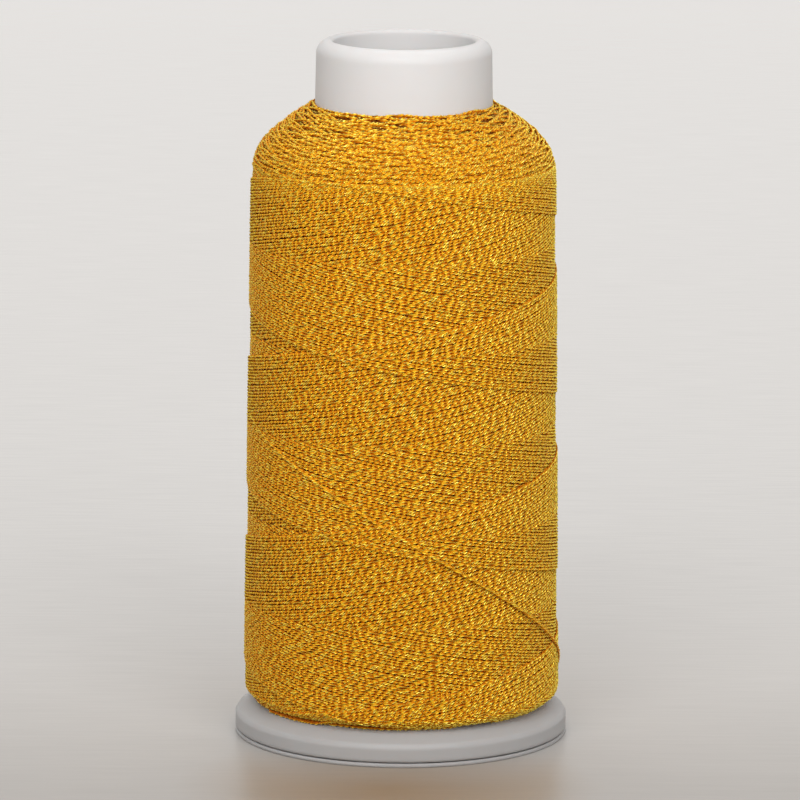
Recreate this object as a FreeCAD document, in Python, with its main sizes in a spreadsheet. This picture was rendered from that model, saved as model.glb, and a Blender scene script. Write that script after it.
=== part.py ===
# King spool of sewing thread: a moulded barrel on a snap-in locking base, cross-wound with thread.
# Millimetres, +Z up, origin on the floor at the middle of the base. The front of the spool looks along -Y.

import FreeCAD, Part
import math
import os
import Sketcher

# Driving sizes: name, value, what it is
SIZES = (
    ("spool_height", 120.0, "floor to the crest of the collar's lip"),
    ("base_dia", 57.0, "outside of the skirt and of the base under it"),
    ("collar_dia", 29.8, "outside of the tube at the top, before its lip is rounded"),
    ("collar_height", 16.0, "top of the spool down to where the collar has widened to the tube"),
    ("tube_dia", 30.4, "outside of the tube under the thread"),
    ("tube_wall", 1.5, "wall of the tube below the collar's bore"),
    ("bore_dia", 24.2, "bore in the collar, where a spindle guides the spool"),
    ("bore_land", 6.0, "length of the straight bore in the collar"),
    ("lip_round", 2.3, "outer rounding of the collar's lip"),
    ("mouth_bevel", 0.45, "bevel inside the collar's lip"),
    ("flange_slope", 28.0, "degrees that the flange falls outward"),
    ("flange_wall", 1.6, "thickness of the flange"),
    ("root_bevel", 1.2, "bevel where the flange meets the tube"),
    ("skirt_edge", 3.75, "level of the corner between flange and skirt, before it is bevelled"),
    ("edge_bevel", 0.5, "bevel of that corner"),
    ("skirt_wall", 1.5, "thickness of the skirt"),
    ("rib_count", 8.0, "ribs under the flange"),
    ("rib_thick", 1.2, "thickness of a rib"),
    ("seam_bevel", 0.15, "bevel of the edges along the seam and round the foot"),
    ("plate_thick", 1.2, "thickness of the base inside the skirt"),
    ("rim_thick", 0.7, "thickness of the base under the skirt"),
    ("rim_width", 3.5, "width of that thinner rim"),
    ("seam_gap", 0.2, "gap between the closed base and the barrel"),
    ("lock_travel", 2.5, "how far the barrel lifts off the base to free the thread"),
    ("hub_height", 14.0, "level of the top of the base's hub"),
    ("hub_wall", 1.2, "wall of the hub"),
    ("hub_gap", 0.4, "gap from the hub to the bore around it"),
    ("slot_count", 8.0, "slots that part the hub into spring fingers"),
    ("slot_width", 1.6, "width of a slot"),
    ("slot_foot", 4.0, "level where the slots begin"),
    ("hook_count", 4.0, "fingers that carry a hook"),
    ("hook_level", 11.0, "level of a hook's catching face"),
    ("hook_reach", 0.7, "how far a hook stands out from the hub"),
    ("hook_face", 0.6, "height of a hook's outer face"),
    ("hook_angle", 26.0, "degrees round the hub that a hook takes"),
    ("hook_gap", 0.3, "gap from a hook to the bottom of its groove"),
    ("stop_gap", 0.3, "gap from a hook to either shoulder of its groove"),
    ("ring_gap", 0.4, "gap from the grip ring to the skirt, the flange and the ribs"),
    ("ring_wall", 1.0, "thickness of the grip ring"),
    ("notch_count", 12.0, "thread notches in the grip ring"),
    ("notch_width", 1.2, "width of a thread notch"),
    ("notch_foot", 1.0, "level of a notch's floor"),
    ("package_foot_dia", 54.0, "thread package at its foot"),
    ("package_top_dia", 51.7, "thread package at its shoulder, before its corner is taken off"),
    ("shoulder_drop", 18.0, "top of the spool down to the corner of the shoulder"),
    ("shoulder_slope", 38.9, "degrees that the shoulder falls outward"),
    ("shoulder_round", 6.0, "rounding of the shoulder"),
    ("package_foot_round", 4.0, "rounding of the package's foot"),
    ("package_gap", 0.2, "gap from the package to the plastic inside it"),
    ("thread_dia", 0.55, "the thread across its three plies"),
    ("thread_side_count", 5.0, "flats round the thread"),
    ("first_gap", 0.08, "gap under the strands that lie deepest"),
    ("crossing_gap", 0.46, "gap between strands where they cross"),
    ("stroke_turn_count", 3.25, "turns that a strand takes from end to end of the package"),
    ("top_turn_count", 0.03, "turns over which the up stroke rounds into the down stroke"),
    ("top_inset", 0.5, "top of the package's core down to the topmost turn"),
    ("foot_inset", 3.2, "corner of the core's foot up to where the strand comes out of the core"),
    ("leaving_turn_count", 1.75, "turns after the topmost one where the tail leaves its course"),
    ("easing_turn_count", 0.11, "turns over which the tail eases into its steeper course"),
    ("tail_turn_count", 0.42, "turns from there to where it lifts off the package"),
    ("tail_off_angle", 101.0, "degrees right of the front where the tail lifts off the package"),
    ("tail_touch", 0.15, "gap from the tail to the edge of the flange"),
    ("tail_bend", 0.6, "radius of the tail's bend into the seam"),
    ("tail_landing_angle", 119.0, "degrees right of the front where the tail enters the seam"),
    ("tail_steep_angle", 60.0, "degrees that the tail falls just above that bend"),
    ("tail_above", 0.1, "gap from the tail's end down to the foot of the skirt"),
    ("end_touch", 0.02, "gap between each end of the strand and what it meets"),
)

doc = FreeCAD.newDocument("SpoolOfThread")
sheet = doc.addObject("Spreadsheet::Sheet", "Sizes")
for row, (alias, number, meaning) in enumerate(SIZES, start=1):
    sheet.set(f"A{row}", meaning)
    sheet.set(f"B{row}", str(number))
    sheet.setAlias(f"B{row}", alias)
doc.recompute()


def size(formula):
    """The value of a formula of the sheet's sizes."""
    return float(sheet.evalExpression(str(formula)))


# Lines that several pieces share, as formulas of the sheet's sizes

def cone_meets_tube(edge_radius, edge_level, slope, clearance):
    """Where a line that rises inward from an edge meets the tube's outside, moved out by a clearance."""
    radius = f"(Sizes.tube_dia/2 + {clearance})"
    level = f"({edge_level} + ({edge_radius} - {radius})*tan({slope}))"
    return radius, level


CUT_PAST = 1.0
LEAST_CHANGE = 0.1
TOLERANCE = 0.001
SLOPE = "Sizes.flange_slope"
BASE_RADIUS = "(Sizes.base_dia/2)"
TUBE_RADIUS = "(Sizes.tube_dia/2)"
BORE_RADIUS = f"({TUBE_RADIUS} - Sizes.tube_wall)"
SKIRT_INSIDE = "(Sizes.base_dia/2 - Sizes.skirt_wall)"
SKIRT_FOOT = "(Sizes.rim_thick + Sizes.seam_gap)"
TUBE_FOOT = "(Sizes.plate_thick + Sizes.seam_gap)"
COLLAR_FOOT = "(Sizes.spool_height - Sizes.collar_height)"
LAND_FOOT = "(Sizes.spool_height - Sizes.bore_land)"
STEP_FOOT = f"({LAND_FOOT} - ({BORE_RADIUS} - Sizes.bore_dia/2))"
UNDER_EDGE = "(Sizes.skirt_edge - Sizes.flange_wall/cos(Sizes.flange_slope))"
ROOT = cone_meets_tube(BASE_RADIUS, "Sizes.skirt_edge", SLOPE, "0")
UNDER_ROOT = cone_meets_tube(BASE_RADIUS, UNDER_EDGE, SLOPE, "0")

RING_OUTSIDE = f"({SKIRT_INSIDE} - Sizes.ring_gap)"
RING_INSIDE = f"({RING_OUTSIDE} - Sizes.ring_wall)"
UNDER_RING = f"({UNDER_EDGE} + ({BASE_RADIUS} - {RING_OUTSIDE})*tan({SLOPE}))"
RING_TOP = f"({UNDER_RING} - Sizes.ring_gap/cos({SLOPE}))"
RIB_FOOT = f"({RING_TOP} + Sizes.ring_gap)"
RIM_INSIDE = f"({BASE_RADIUS} - Sizes.rim_width)"
HUB_OUTSIDE = f"({BORE_RADIUS} - Sizes.hub_gap)"
HUB_INSIDE = f"({HUB_OUTSIDE} - Sizes.hub_wall)"
HOOK_OUTSIDE = f"({HUB_OUTSIDE} + Sizes.hook_reach)"
HOOK_TOP = "(Sizes.hook_level + Sizes.hook_face + Sizes.hook_reach)"
GROOVE_RADIUS = f"({HOOK_OUTSIDE} + Sizes.hook_gap)"
GROOVE_FOOT = "(Sizes.hook_level - Sizes.lock_travel - Sizes.stop_gap)"
GROOVE_TOP = f"({HOOK_TOP} + Sizes.stop_gap)"

LIFTS = {
    "inner": "(Sizes.thread_dia/2 + Sizes.first_gap)",
    "outer": "(Sizes.thread_dia*1.5 + Sizes.first_gap + Sizes.crossing_gap)",
    "tail": "(Sizes.thread_dia*2.5 + Sizes.first_gap + Sizes.crossing_gap*2)",
}
WOUND_DEPTH = "(Sizes.thread_dia*2 + Sizes.first_gap + Sizes.crossing_gap)"
CORE_FOOT_RADIUS = f"(Sizes.package_foot_dia/2 - {WOUND_DEPTH})"
CORE_TOP_RADIUS = f"(Sizes.package_top_dia/2 - {WOUND_DEPTH})"
CORE_EDGE = f"(Sizes.skirt_edge + Sizes.package_gap/cos({SLOPE}))"
CORE_FOOT = f"({CORE_EDGE} + ({BASE_RADIUS} - {CORE_FOOT_RADIUS})*tan({SLOPE}))"
CORE_ROOT = cone_meets_tube(BASE_RADIUS, CORE_EDGE, SLOPE, "Sizes.package_gap")
CORE_SHOULDER = f"(Sizes.spool_height - Sizes.shoulder_drop - {WOUND_DEPTH}*tan(45 - Sizes.shoulder_slope/2))"
CORE_CREST = cone_meets_tube(CORE_TOP_RADIUS, CORE_SHOULDER, "Sizes.shoulder_slope", "Sizes.package_gap")
CORE_FOOT_ROUND = f"(Sizes.package_foot_round - {WOUND_DEPTH})"
CORE_SHOULDER_ROUND = f"(Sizes.shoulder_round - {WOUND_DEPTH})"


# Sketches and features

def origin_feature(body, role):
    return next(item for item in body.Origin.OriginFeatures if item.Role == role)


def outline(body, name, corners):
    """A closed outline on the upright plane, each corner tied to formulas of its radius and level."""
    sketch = body.newObject("Sketcher::SketchObject", name)
    sketch.AttachmentSupport = [(origin_feature(body, "XZ_Plane"), "")]
    sketch.MapMode = "FlatFace"
    points = [FreeCAD.Vector(size(radius), size(level), 0) for radius, level in corners]
    count = len(points)
    for index, point in enumerate(points):
        sketch.addGeometry(Part.LineSegment(point, points[(index + 1) % count]), False)
    for index in range(count):
        sketch.addConstraint(Sketcher.Constraint("Coincident", index, 2, (index + 1) % count, 1))
    for index, (radius, level) in enumerate(corners):
        across = sketch.addConstraint(Sketcher.Constraint("DistanceX", -1, 1, index, 1, size(radius)))
        sketch.setExpression(f"Constraints[{across}]", radius)
        if size(level) == 0:
            sketch.addConstraint(Sketcher.Constraint("PointOnObject", index, 1, -1))
            continue
        up = sketch.addConstraint(Sketcher.Constraint("DistanceY", -1, 1, index, 1, size(level)))
        sketch.setExpression(f"Constraints[{up}]", level)
    return sketch


def turned(body, kind, name, sketch, angle="360"):
    """A revolution or groove of an outline about the spool's axis, centred on the outline's plane."""
    feature = body.newObject(kind, name)
    feature.Profile = sketch
    feature.ReferenceAxis = (sketch, ["V_Axis"])
    feature.setExpression("Angle", angle)
    feature.Midplane = True
    doc.recompute()
    return feature


def across_plane(body, kind, name, sketch, width):
    """A pad or pocket of an outline, as wide on both sides of its plane."""
    feature = body.newObject(kind, name)
    feature.Profile = sketch
    feature.SideType = "Symmetric"
    feature.setExpression("Length", width)
    doc.recompute()
    return feature


def round_the_axis(body, name, feature, count):
    pattern = body.newObject("PartDesign::PolarPattern", name)
    pattern.Originals = [feature]
    pattern.Axis = (origin_feature(body, "Z_Axis"), [""])
    pattern.Angle = 360
    pattern.setExpression("Occurrences", count)
    body.Tip = pattern
    doc.recompute()
    return pattern


def circle_at(name, base, corner):
    """The names of the edges on the full circle at a corner given by its radius and level."""
    radius, level = size(corner[0]), size(corner[1])
    found = []
    for index, edge in enumerate(base.Shape.Edges, start=1):
        if not isinstance(edge.Curve, Part.Circle):
            continue
        off_radius = abs(edge.Curve.Radius - radius)
        off_level = abs(edge.Curve.Center.z - level)
        if max(off_radius, off_level) < TOLERANCE:
            found.append(f"Edge{index}")
    if not found:
        raise ValueError(f"{name}: no edge at radius {radius} and level {level}")
    return found


def rounded(body, name, base, corner, radius):
    """A fillet on the full circle at a corner."""
    fillet = body.newObject("PartDesign::Fillet", name)
    fillet.Base = (base, circle_at(name, base, corner))
    fillet.setExpression("Radius", radius)
    doc.recompute()
    return fillet


def bevelled(body, name, base, corner, reach):
    """A bevel on the full circle at a corner, as far along both of its faces."""
    chamfer = body.newObject("PartDesign::Chamfer", name)
    chamfer.Base = (base, circle_at(name, base, corner))
    chamfer.setExpression("Size", reach)
    doc.recompute()
    return chamfer


def must_change(before, after, grows):
    """Stops where a feature has cut or added nothing."""
    gain = after.Shape.Volume - before.Shape.Volume
    if (gain if grows else -gain) < LEAST_CHANGE:
        raise ValueError(f"{after.Name} changes nothing")


def new_body(label):
    body = doc.addObject("PartDesign::Body", label)
    body.Label = label
    body.Placement = FreeCAD.Placement()
    return body


# Spool barrel: tube, lip, flange, skirt, hook groove and ribs in one moulding

def make_barrel():
    body = new_body("spool_barrel")
    section = outline(body, "BarrelSection", [
        (BORE_RADIUS, TUBE_FOOT),
        (TUBE_RADIUS, TUBE_FOOT),
        UNDER_ROOT,
        (SKIRT_INSIDE, f"({UNDER_EDGE} + Sizes.skirt_wall*tan({SLOPE}))"),
        (SKIRT_INSIDE, SKIRT_FOOT),
        (BASE_RADIUS, SKIRT_FOOT),
        (BASE_RADIUS, "Sizes.skirt_edge"),
        ROOT,
        (TUBE_RADIUS, COLLAR_FOOT),
        ("Sizes.collar_dia/2", "Sizes.spool_height"),
        ("Sizes.bore_dia/2", "Sizes.spool_height"),
        ("Sizes.bore_dia/2", LAND_FOOT),
        (BORE_RADIUS, STEP_FOOT),
    ])
    shape = turned(body, "PartDesign::Revolution", "Moulding", section)
    lip_limit = "(Sizes.collar_dia - Sizes.bore_dia)/2 - Sizes.mouth_bevel"
    lip_corner = ("Sizes.collar_dia/2", "Sizes.spool_height")
    mouth_corner = ("Sizes.bore_dia/2", "Sizes.spool_height")
    shape = rounded(body, "Lip", shape, lip_corner, f"min(Sizes.lip_round; {lip_limit})")
    shape = bevelled(body, "Mouth", shape, mouth_corner, "Sizes.mouth_bevel")
    shape = bevelled(body, "FlangeRoot", shape, ROOT, "Sizes.root_bevel")
    shape = bevelled(body, "SkirtEdge", shape, (BASE_RADIUS, "Sizes.skirt_edge"), "Sizes.edge_bevel")
    shape = bevelled(body, "SkirtFoot", shape, (BASE_RADIUS, SKIRT_FOOT), "Sizes.seam_bevel")

    inside = f"({BORE_RADIUS} - {CUT_PAST})"
    groove_section = outline(body, "GrooveSection", [
        (inside, GROOVE_FOOT),
        (GROOVE_RADIUS, GROOVE_FOOT),
        (GROOVE_RADIUS, GROOVE_TOP),
        (inside, GROOVE_TOP),
    ])
    groove = turned(body, "PartDesign::Groove", "HookGroove", groove_section)
    must_change(shape, groove, False)

    sunk = "(Sizes.flange_wall/4)"
    rib_inside = f"({TUBE_RADIUS} - {sunk})"
    rib_edge = f"({UNDER_EDGE} + {sunk})"
    rib_section = outline(body, "RibSection", [
        (rib_inside, RIB_FOOT),
        (f"({BASE_RADIUS} - ({RIB_FOOT} - {rib_edge})/tan({SLOPE}))", RIB_FOOT),
        (rib_inside, f"({rib_edge} + ({BASE_RADIUS} - {rib_inside})*tan({SLOPE}))"),
    ])
    rib = across_plane(body, "PartDesign::Pad", "Rib", rib_section, "Sizes.rib_thick")
    must_change(groove, rib, True)
    ribs = round_the_axis(body, "Ribs", rib, "Sizes.rib_count")
    must_change(rib, ribs, True)
    return body


# Locking base: disc, hub with spring fingers and hooks, grip ring with thread notches

def make_base():
    body = new_body("locking_base")
    section = outline(body, "BaseSection", [
        (HUB_INSIDE, "0"),
        (BASE_RADIUS, "0"),
        (BASE_RADIUS, "Sizes.rim_thick"),
        (RING_OUTSIDE, "Sizes.rim_thick"),
        (RING_OUTSIDE, RING_TOP),
        (RING_INSIDE, RING_TOP),
        (RING_INSIDE, "Sizes.rim_thick"),
        (RIM_INSIDE, "Sizes.rim_thick"),
        (RIM_INSIDE, "Sizes.plate_thick"),
        (HUB_OUTSIDE, "Sizes.plate_thick"),
        (HUB_OUTSIDE, "Sizes.hub_height"),
        (HUB_INSIDE, "Sizes.hub_height"),
    ])
    shape = turned(body, "PartDesign::Revolution", "Disc", section)
    shape = bevelled(body, "RimFoot", shape, (BASE_RADIUS, "0"), "Sizes.seam_bevel")
    shape = bevelled(body, "RimTop", shape, (BASE_RADIUS, "Sizes.rim_thick"), "Sizes.seam_bevel")

    hook_root = f"({HUB_OUTSIDE} - Sizes.hub_wall/2)"
    hook_section = outline(body, "HookSection", [
        (hook_root, "Sizes.hook_level"),
        (HOOK_OUTSIDE, "Sizes.hook_level"),
        (HOOK_OUTSIDE, "(Sizes.hook_level + Sizes.hook_face)"),
        (HUB_OUTSIDE, HOOK_TOP),
        (hook_root, HOOK_TOP),
    ])
    hook = turned(body, "PartDesign::Revolution", "Hook", hook_section, "Sizes.hook_angle")
    must_change(shape, hook, True)
    hooks = round_the_axis(body, "Hooks", hook, "Sizes.hook_count")
    must_change(hook, hooks, True)

    slot_inside = f"({HUB_INSIDE} - {CUT_PAST})"
    slot_outside = f"({HOOK_OUTSIDE} + {CUT_PAST})"
    slot_top = f"(Sizes.hub_height + {CUT_PAST})"
    slot_section = outline(body, "SlotSection", [
        (slot_inside, "Sizes.slot_foot"),
        (slot_outside, "Sizes.slot_foot"),
        (slot_outside, slot_top),
        (slot_inside, slot_top),
    ])
    half_pitch = FreeCAD.Rotation(FreeCAD.Vector(0, 1, 0), 180 / size("Sizes.slot_count"))
    slot_section.AttachmentOffset = FreeCAD.Placement(FreeCAD.Vector(0, 0, 0), half_pitch)
    slot = across_plane(body, "PartDesign::Pocket", "Slot", slot_section, "Sizes.slot_width")
    must_change(hooks, slot, False)
    slots = round_the_axis(body, "Slots", slot, "Sizes.slot_count")
    must_change(slot, slots, False)

    notch_inside = f"(({RING_INSIDE} + {RIM_INSIDE})/2)"
    notch_outside = f"({RING_OUTSIDE} + Sizes.ring_gap/2)"
    notch_top = f"({RING_TOP} + {CUT_PAST})"
    notch_section = outline(body, "NotchSection", [
        (notch_inside, "Sizes.notch_foot"),
        (notch_outside, "Sizes.notch_foot"),
        (notch_outside, notch_top),
        (notch_inside, notch_top),
    ])
    notch = across_plane(body, "PartDesign::Pocket", "Notch", notch_section, "Sizes.notch_width")
    must_change(slots, notch, False)
    notches = round_the_axis(body, "Notches", notch, "Sizes.notch_count")
    must_change(notch, notches, False)
    return body


# Thread package: the body of the wound thread, under its outer winding

def make_package():
    body = new_body("thread_package")
    section = outline(body, "PackageSection", [
        CORE_ROOT,
        (CORE_FOOT_RADIUS, CORE_FOOT),
        (CORE_TOP_RADIUS, CORE_SHOULDER),
        CORE_CREST,
    ])
    shape = turned(body, "PartDesign::Revolution", "Package", section)
    foot_reach = f"({CORE_FOOT_ROUND}*tan(45 + {SLOPE}/2))"
    shoulder_reach = f"({CORE_SHOULDER_ROUND}*tan(45 - Sizes.shoulder_slope/2))"
    shape = bevelled(body, "PackageRoot", shape, CORE_ROOT, "Sizes.root_bevel")
    shape = bevelled(body, "PackageFoot", shape, (CORE_FOOT_RADIUS, CORE_FOOT), foot_reach)
    bevelled(body, "Shoulder", shape, (CORE_TOP_RADIUS, CORE_SHOULDER), shoulder_reach)
    return body


# Outer winding: one strand that runs up and down the package, and its tail into the seam

# A run of the strand between two points and the step that gives its direction, both in turns
RUN = 0.25
WAY_STEP = 0.002

# Spacing of the points where the strand's gap is measured, and the diameters along it that are left out
MEASURED = 0.4
NEAR_ALONG = 12

# Radii of the arcs that the strand is made of
radii = []


class CoreSide:
    """The line that the strand is laid on: the core's side and cone, rounded over its bevelled corners."""

    def __init__(self):
        root = FreeCAD.Vector(size(CORE_ROOT[0]), size(CORE_ROOT[1]), 0)
        foot = FreeCAD.Vector(size(CORE_FOOT_RADIUS), size(CORE_FOOT), 0)
        shoulder = FreeCAD.Vector(size(CORE_TOP_RADIUS), size(CORE_SHOULDER), 0)
        crest = FreeCAD.Vector(size(CORE_CREST[0]), size(CORE_CREST[1]), 0)
        self.foot_arc = self.corner_arc(root, foot, shoulder, size(CORE_FOOT_ROUND))
        self.shoulder_arc = self.corner_arc(foot, shoulder, crest, size(CORE_SHOULDER_ROUND))
        self.side = (foot, shoulder)
        self.cone = (shoulder, crest)

    @staticmethod
    def corner_arc(before, corner, after, radius):
        """Centre, radius and the levels where an arc in a corner begins and ends."""
        down = (before - corner).normalize()
        up = (after - corner).normalize()
        half = math.acos(down * up) / 2
        middle = (down + up).normalize()
        centre = corner + middle * (radius / math.sin(half))
        run = radius / math.tan(half)
        return centre, radius, (corner + down * run).y, (corner + up * run).y

    @staticmethod
    def on_line(line, level):
        low, high = line
        share = (level - low.y) / (high.y - low.y)
        way = (high - low).normalize()
        return low.x + share * (high.x - low.x), way.y, -way.x

    @staticmethod
    def on_arc(arc, level):
        centre, radius, _, _ = arc
        across = math.sqrt(max(radius ** 2 - (level - centre.y) ** 2, 0))
        return centre.x + across, across / radius, (level - centre.y) / radius

    def at(self, level):
        """Radius at a level, and the outward direction there as its parts along radius and level."""
        if level < self.foot_arc[3]:
            return self.on_arc(self.foot_arc, level)
        if level < self.shoulder_arc[2]:
            return self.on_line(self.side, level)
        if level < self.shoulder_arc[3]:
            return self.on_arc(self.shoulder_arc, level)
        return self.on_line(self.cone, level)


def at_azimuth(turn, radius, level):
    """A point by its turn about the axis, counted from the front and growing to the right."""
    angle = 2 * math.pi * turn
    return FreeCAD.Vector(radius * math.sin(angle), -radius * math.cos(angle), level)


def outward(point):
    return FreeCAD.Vector(point.x, point.y, 0).normalize()


def eased(distance, width):
    """Zero before a knee and the distance after it, with the knee rounded over a width."""
    return (distance + math.hypot(distance, width)) / 2


def smooth_share(share):
    share = min(max(share, 0), 1)
    return share * share * (3 - 2 * share)


class StrandCourse:
    """Level and lift of the strand by its turn about the axis; the tail crosses the front at turn 0."""

    def __init__(self):
        self.core = CoreSide()
        self.thickness = size("Sizes.thread_dia")
        self.lifts = {name: size(formula) for name, formula in LIFTS.items()}
        self.stroke = size("Sizes.stroke_turn_count")
        self.soft = size("Sizes.top_turn_count")
        self.ease = size("Sizes.easing_turn_count")
        top = size(CORE_CREST[1]) - size("Sizes.top_inset")
        foot = size(CORE_FOOT) + size("Sizes.foot_inset")
        self.pitch = (top - foot) / self.stroke
        self.apex = top + self.pitch * self.soft
        self.set_tail()

    def set_tail(self):
        """The tail's steeper fall, so that it clears the flange's edge, straight from where it lifts off."""
        self.off = size("Sizes.tail_off_angle") / 360
        self.knee = self.off - size("Sizes.tail_turn_count")
        self.top_turn = self.knee - size("Sizes.leaving_turn_count")
        self.start_turn = self.top_turn - self.stroke
        corner_half = math.radians(45 - size(SLOPE) / 2)
        bevel = size("Sizes.edge_bevel")
        reach = (bevel + size("Sizes.tail_touch") + self.thickness / 2) * math.sqrt(0.5)
        edge_radius = size(BASE_RADIUS) - bevel + reach
        edge_level = size("Sizes.skirt_edge") - bevel * math.tan(corner_half) + reach
        off_radius = self.tail_radius(edge_level + size("Sizes.package_foot_round"))
        edge_radius = max(edge_radius, off_radius + self.thickness / 4)
        self.span = math.sqrt(edge_radius ** 2 - off_radius ** 2)
        span_turns = self.span / (2 * math.pi * off_radius)
        steep_turns = eased(self.off - self.knee, self.ease)
        unbent_level = self.apex - self.pitch * (self.off - self.top_turn)
        self.fall = (self.pitch * steep_turns + unbent_level - edge_level) / (steep_turns + span_turns)

    def tail_radius(self, level):
        radius, _, _ = self.core.on_line(self.core.side, level)
        return radius + self.lifts["tail"]

    def level(self, turn):
        level = self.apex + self.pitch * (turn - self.top_turn)
        level -= 2 * self.pitch * eased(turn - self.top_turn, self.soft)
        return level - (self.fall - self.pitch) * eased(turn - self.knee, self.ease)

    def lift(self, turn):
        """High where the strand comes out of the core, low on its way up, and over itself on its way down."""
        inner, outer, tail = self.lifts["inner"], self.lifts["outer"], self.lifts["tail"]
        sunk = smooth_share((turn - self.start_turn) / RUN)
        up_to_down = smooth_share((turn - self.top_turn) / RUN + 0.5)
        to_tail = smooth_share((turn - self.knee) / RUN + 1)
        return outer + (inner - outer) * (sunk - up_to_down) + (tail - outer) * to_tail

    def point(self, turn):
        level = self.level(turn)
        lift = self.lift(turn)
        if turn > self.knee:
            return at_azimuth(turn, self.tail_radius(level), level)
        radius, across, up = self.core.at(level)
        return at_azimuth(turn, radius + lift * across, level + lift * up)

    def way(self, turn):
        return (self.point(turn + WAY_STEP) - self.point(turn - WAY_STEP)).normalize()


def smooth_edges(start, start_way, end, end_way):
    """Two arcs that join two points and leave and arrive along the given directions."""
    chord = end - start
    along = chord * (start_way + end_way)
    spread = 2 * (1 - start_way * end_way)
    if spread < 1e-9:
        reach = chord * chord / (2 * along)
    else:
        reach = (math.sqrt(along * along + spread * (chord * chord)) - along) / spread
    joint = (start + start_way * reach + end - end_way * reach) / 2
    return [
        arc_edge(start, start + start_way * reach, joint),
        arc_edge(joint, end - end_way * reach, end),
    ]


def line_edge(start, end):
    return Part.LineSegment(start, end).toShape()


def arc_edge(start, corner, end):
    """The arc that touches the two lines from a corner to its ends, or a line where they are one."""
    half_chord = (end - start).Length / 2
    side = (corner - start).Length
    bend = math.sqrt(max(side ** 2 - half_chord ** 2, 0))
    if bend < 1e-5:
        return line_edge(start, end)
    radii.append(half_chord * side / bend)
    middle = (start + end) / 2
    return Part.Arc(start, corner + (middle - corner) / (1 + half_chord / side), end).toShape()


def least_self_gap(points, thickness):
    """The least gap of a tube to itself, from points along it, leaving out what is near along its length."""
    cell = 5 * thickness
    near_along = int(NEAR_ALONG * thickness / MEASURED)
    cells = {}
    for index, point in enumerate(points[:-1]):
        cells.setdefault(cell_of(point, cell), []).append(index)
    least = cell
    for index, point in enumerate(points):
        for other in near_points(cells, cell_of(point, cell)):
            if other - index > near_along:
                least = min(least, distance_to_run(point, points[other], points[other + 1]))
    return least - thickness


def cell_of(point, cell):
    return tuple(int(value // cell) for value in point)


def near_points(cells, key):
    steps = (-1, 0, 1)
    around = [(key[0] + i, key[1] + j, key[2] + k) for i in steps for j in steps for k in steps]
    return [index for box in around for index in cells.get(box, ())]


def distance_to_run(point, start, end):
    run = end - start
    share = min(max((point - start) * run / (run * run), 0), 1)
    return (start + run * share - point).Length


def start_at_core(course, first, first_way):
    """The strand's start: straight out of the core's side, then round into its first turn."""
    out = outward(first - first_way)
    surface = course.core.at(first.z)[0] + size("Sizes.end_touch")
    reach = (first * out - surface - course.thickness) / (1 + first_way * out)
    bend = first - (first_way + out) * reach
    start = bend - out * (bend * out - surface)
    return start, out, [line_edge(start, bend)] + smooth_edges(bend, out, first, first_way)


def end_in_seam(course, off, off_way):
    """The tail's end: straight over the flange's edge, down the skirt and square into it above the seam."""
    over_edge = off + off_way * (course.span / math.hypot(off_way.x, off_way.y))
    lands = size("Sizes.tail_landing_angle") / 360
    level = size(f"{SKIRT_FOOT} + Sizes.tail_above") + course.thickness / 2
    end = at_azimuth(lands, size(BASE_RADIUS) + size("Sizes.end_touch"), level)
    out = outward(end)
    inward = out * -1
    bend_end = end + out * course.thickness
    steep = math.radians(size("Sizes.tail_steep_angle"))
    aside = FreeCAD.Vector(0, 0, 1).cross(out)
    down_way = aside * math.cos(steep) - FreeCAD.Vector(0, 0, math.sin(steep))
    bend_start = bend_end - (down_way + inward) * size("Sizes.tail_bend")
    edges = [line_edge(off, over_edge)]
    edges += smooth_edges(over_edge, off_way, bend_start, down_way)
    edges += smooth_edges(bend_start, down_way, bend_end, inward)
    return edges + [line_edge(bend_end, end)]


def strand_profile(centre, normal, across, sides):
    """A strand's many-sided section round a point, square to a direction."""
    frame = FreeCAD.Rotation(FreeCAD.Vector(0, 0, 1), normal)
    corners = []
    for index in range(sides + 1):
        angle = 2 * math.pi * (index % sides) / sides
        corner = FreeCAD.Vector(math.cos(angle), math.sin(angle), 0) * (across / 2)
        corners.append(centre + frame.multVec(corner))
    return Part.makePolygon(corners)


def make_winding():
    course = StrandCourse()
    turn = course.start_turn
    stops = [turn]
    while turn + RUN < course.off:
        turn += RUN
        stops.append(turn)
    stops.append(course.off)

    passed = [(course.point(stop), course.way(stop)) for stop in stops]
    start, out, edges = start_at_core(course, *passed[0])
    for before, after in zip(passed, passed[1:]):
        edges += smooth_edges(*before, *after)
    edges += end_in_seam(course, *passed[-1])

    path = Part.Wire(edges)
    ring = strand_profile(start, out, course.thickness, round(size("Sizes.thread_side_count")))
    tube = path.makePipeShell([ring], True, False)
    gap = least_self_gap(path.discretize(Distance=MEASURED), course.thickness)
    expected = Part.Face(ring).Area * path.Length
    print(f"outer_winding: {path.Length:.1f} mm long, {len(edges)} runs, pitch {course.pitch:.2f} mm")
    print(f"outer_winding: least radius {min(radii):.2f} mm, least gap to itself {gap:.3f} mm")
    print(f"outer_winding: volume {tube.Volume:.2f} mm3, section times length {expected:.2f} mm3")

    winding = doc.addObject("Part::Feature", "outer_winding")
    winding.Label = "outer_winding"
    winding.Shape = tube
    winding.Placement = FreeCAD.Placement()
    return winding


parts = [make_barrel(), make_base(), make_package(), make_winding()]
doc.recompute()

for item in doc.Objects:
    if "Invalid" in item.State or "Error" in item.State:
        raise ValueError(f"{item.Name} has failed: {item.State}")
for part in parts:
    if part.Shape.isNull() or not part.Shape.isValid() or len(part.Shape.Solids) != 1:
        raise ValueError(f"{part.Label} has no good solid")
    box = part.Shape.BoundBox
    print(f"{part.Label}: volume {part.Shape.Volume:.1f} mm3, level {box.ZMin:.3f} to {box.ZMax:.3f} mm")

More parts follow.
